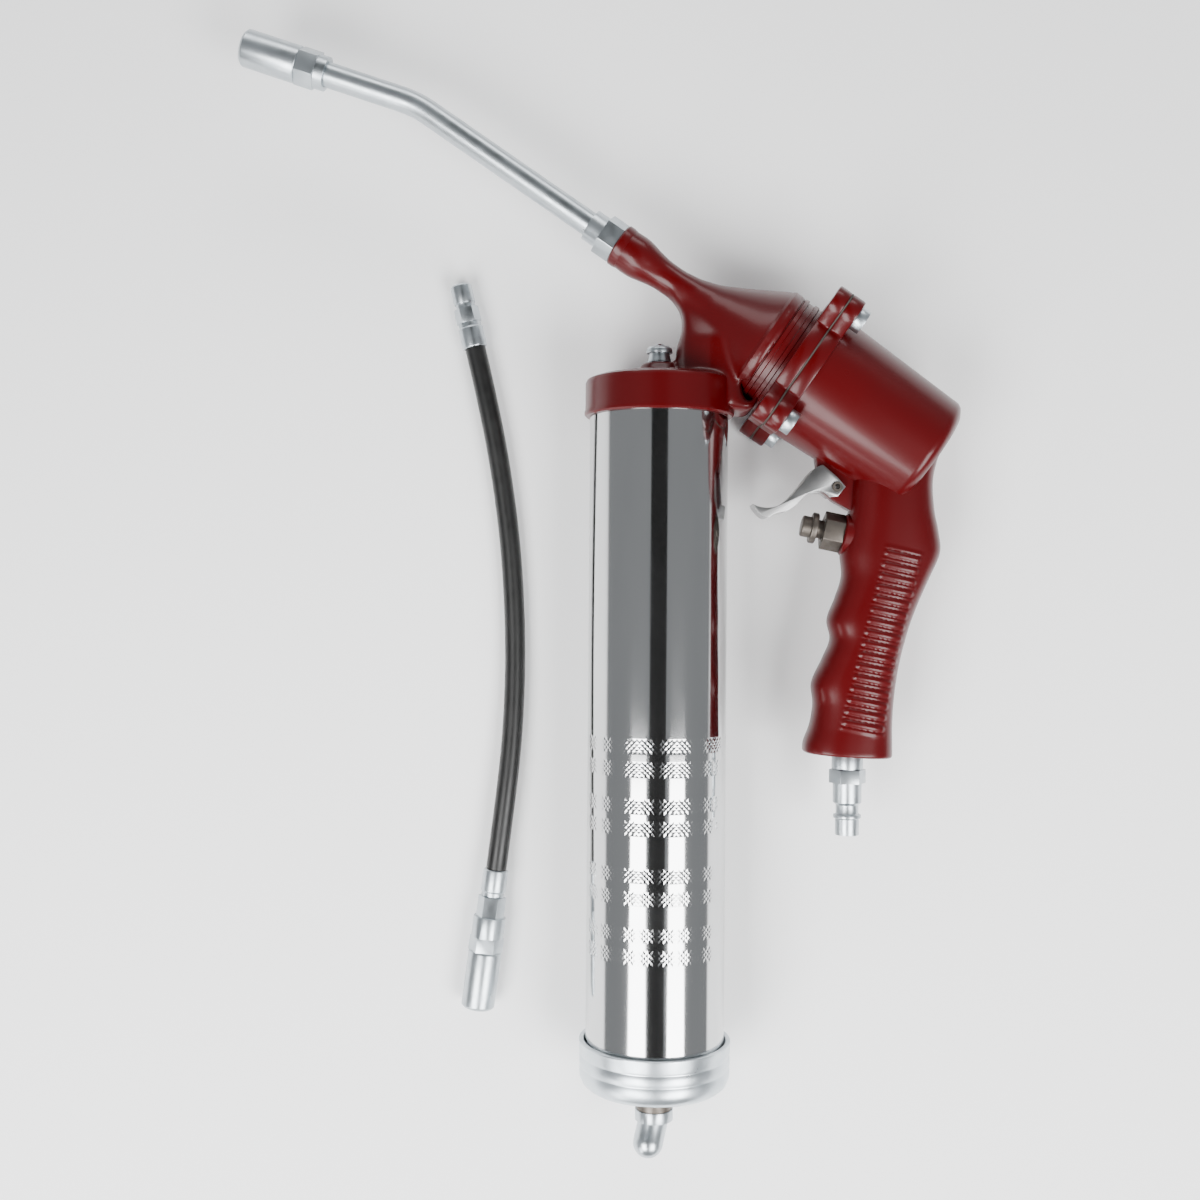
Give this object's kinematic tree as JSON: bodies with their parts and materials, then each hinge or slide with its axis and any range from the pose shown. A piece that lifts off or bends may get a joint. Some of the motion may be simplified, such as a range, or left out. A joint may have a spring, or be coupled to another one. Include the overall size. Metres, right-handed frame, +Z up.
{
  "type": "air-operated grease gun",
  "caption": "Pistol-grip pneumatic grease gun with a chromed barrel, red cast head and grip, rigid delivery pipe with coupler, and a loose flexible hose beside it.",
  "frame": {"origin": "on the floor, under the middle of the gun's outline as it lies on its side; the loose hose doesn't count", "axes": "+Y along the barrel towards the head, +X towards the pistol grip, +Z up, out of the flat side the gun lies on"},
  "size_m": [0.2978, 0.462, 0.0626],
  "materials": {
    "red_enamel": "deep red gloss enamel on a casting",
    "barrel_chrome": "bright chrome plate on rolled steel tube",
    "trigger_chrome": "satin chrome plate",
    "zinc_plate": "bright bluish zinc plate",
    "dark_steel": "dark phosphated steel",
    "hose_rubber": "satin black",
    "seal_rubber": "matte black",
    "gasket_fibre": "grey fibre sheet",
    "piston_aluminium": "turned",
    "gland_brass": "turned",
    "spring_steel": "oiled spring wire",
    "turned_steel": "ground and polished"
  },
  "bodies": {
    "gun_frame": {"head_casting": "red_enamel", "barrel_seal": "seal_rubber", "outlet_adapter": "zinc_plate", "rigid_extension": "zinc_plate", "check_spring": "spring_steel", "plunger_seal": "seal_rubber", "plunger_gland": "gland_brass", "bleeder_body": "zinc_plate", "bleeder_spring": "spring_steel", "flange_gasket": "gasket_fibre", "grip_casting": "red_enamel", "flange_screws": "zinc_plate", "trigger_pin": "zinc_plate", "air_valve_body": "dark_steel", "valve_spring": "spring_steel", "inlet_bushing": "zinc_plate", "inlet_plug": "zinc_plate", "return_spring": "spring_steel", "nozzle_body": "zinc_plate", "nozzle_sleeve": "zinc_plate", "nozzle_spring": "spring_steel"},
    "check_ball": {"check_ball": "turned_steel"},
    "bleeder_button": {"bleeder_pin": "turned_steel"},
    "air_piston": {"air_piston": "piston_aluminium", "piston_seal": "seal_rubber", "grease_plunger": "turned_steel", "piston_nut": "zinc_plate"},
    "trigger": {"trigger": "trigger_chrome"},
    "valve_button": {"valve_button": "dark_steel", "valve_poppet": "seal_rubber"},
    "nozzle_jaws": {"nozzle_jaws": "turned_steel", "nozzle_seal": "seal_rubber"},
    "barrel": {"barrel_tube": "barrel_chrome", "barrel_end_cap": "zinc_plate", "cap_bushing": "dark_steel", "follower_spring": "spring_steel"},
    "follower_rod": {"follower_rod": "turned_steel", "rod_handle": "zinc_plate", "follower_back_plate": "zinc_plate", "follower_cup": "seal_rubber", "follower_front_plate": "zinc_plate", "follower_nut": "zinc_plate"},
    "spare_hose": {"spare_hose": "hose_rubber", "hose_nipple_ferrule": "zinc_plate", "hose_nipple": "zinc_plate", "hose_coupler_ferrule": "zinc_plate", "hose_coupler_body": "zinc_plate", "hose_coupler_sleeve": "zinc_plate", "hose_coupler_spring": "spring_steel"},
    "hose_coupler_jaws": {"hose_coupler_jaws": "turned_steel", "hose_coupler_seal": "seal_rubber"}
  },
  "joints": [
    {"name": "trigger_pull", "type": "hinge", "parent": "gun_frame", "child": "trigger", "pos_m": [0.09613, 0.04391, 0.0313], "axis": [0, 0, 1], "range_deg": [0, 26], "stiffness_Nm_per_rad": 0.15, "springref_deg": -8.59},
    {"name": "valve_press", "type": "slide", "parent": "gun_frame", "child": "valve_button", "axis": [0.9803, -0.1977, 0], "range_m": [0, 0.0023], "deforming": ["valve_spring"]},
    {"name": "pump_stroke", "type": "slide", "parent": "gun_frame", "child": "air_piston", "axis": [-0.8261, 0.5635, 0], "range_m": [0, 0.026], "stiffness_N_per_m": 500, "springref_m": -0.02, "deforming": ["return_spring"]},
    {"name": "check_ball_lift", "type": "slide", "parent": "gun_frame", "child": "check_ball", "axis": [-0.8261, 0.5635, 0], "range_m": [0, 0.0015], "stiffness_N_per_m": 200, "springref_m": -0.001, "deforming": ["check_spring"]},
    {"name": "bleeder_press", "type": "slide", "parent": "gun_frame", "child": "bleeder_button", "axis": [0, -1, 0], "range_m": [0, 0.0012], "stiffness_N_per_m": 300, "springref_m": -0.001, "deforming": ["bleeder_spring"]},
    {"name": "nozzle_jaw_give", "type": "slide", "parent": "gun_frame", "child": "nozzle_jaws", "axis": [0.9516, -0.3074, 0], "range_m": [0, 0.001], "stiffness_N_per_m": 500, "springref_m": -0.001, "deforming": ["nozzle_spring"]},
    {"name": "barrel_unscrew", "type": "slide", "parent": "gun_frame", "child": "barrel", "axis": [0, -1, 0], "range_m": [0, 0.04]},
    {"name": "rod_pull", "type": "slide", "parent": "barrel", "child": "follower_rod", "axis": [0, -1, 0], "range_m": [0, 0.195], "stiffness_N_per_m": 200, "springref_m": -0.03, "deforming": ["follower_spring"]},
    {"name": "hose_lift", "type": "slide", "parent": "gun_frame", "child": "spare_hose", "axis": [0, 0, 1], "range_m": [0, 0.07]},
    {"name": "hose_jaw_give", "type": "slide", "parent": "spare_hose", "child": "hose_coupler_jaws", "axis": [0.1263, 0.992, 0], "range_m": [0, 0.001], "stiffness_N_per_m": 500, "springref_m": -0.001, "deforming": ["hose_coupler_spring"]}
  ],
  "couplings": [
    {"joint": "valve_press", "follows": "trigger_pull", "m_per_rad": 0.005067}
  ]
}
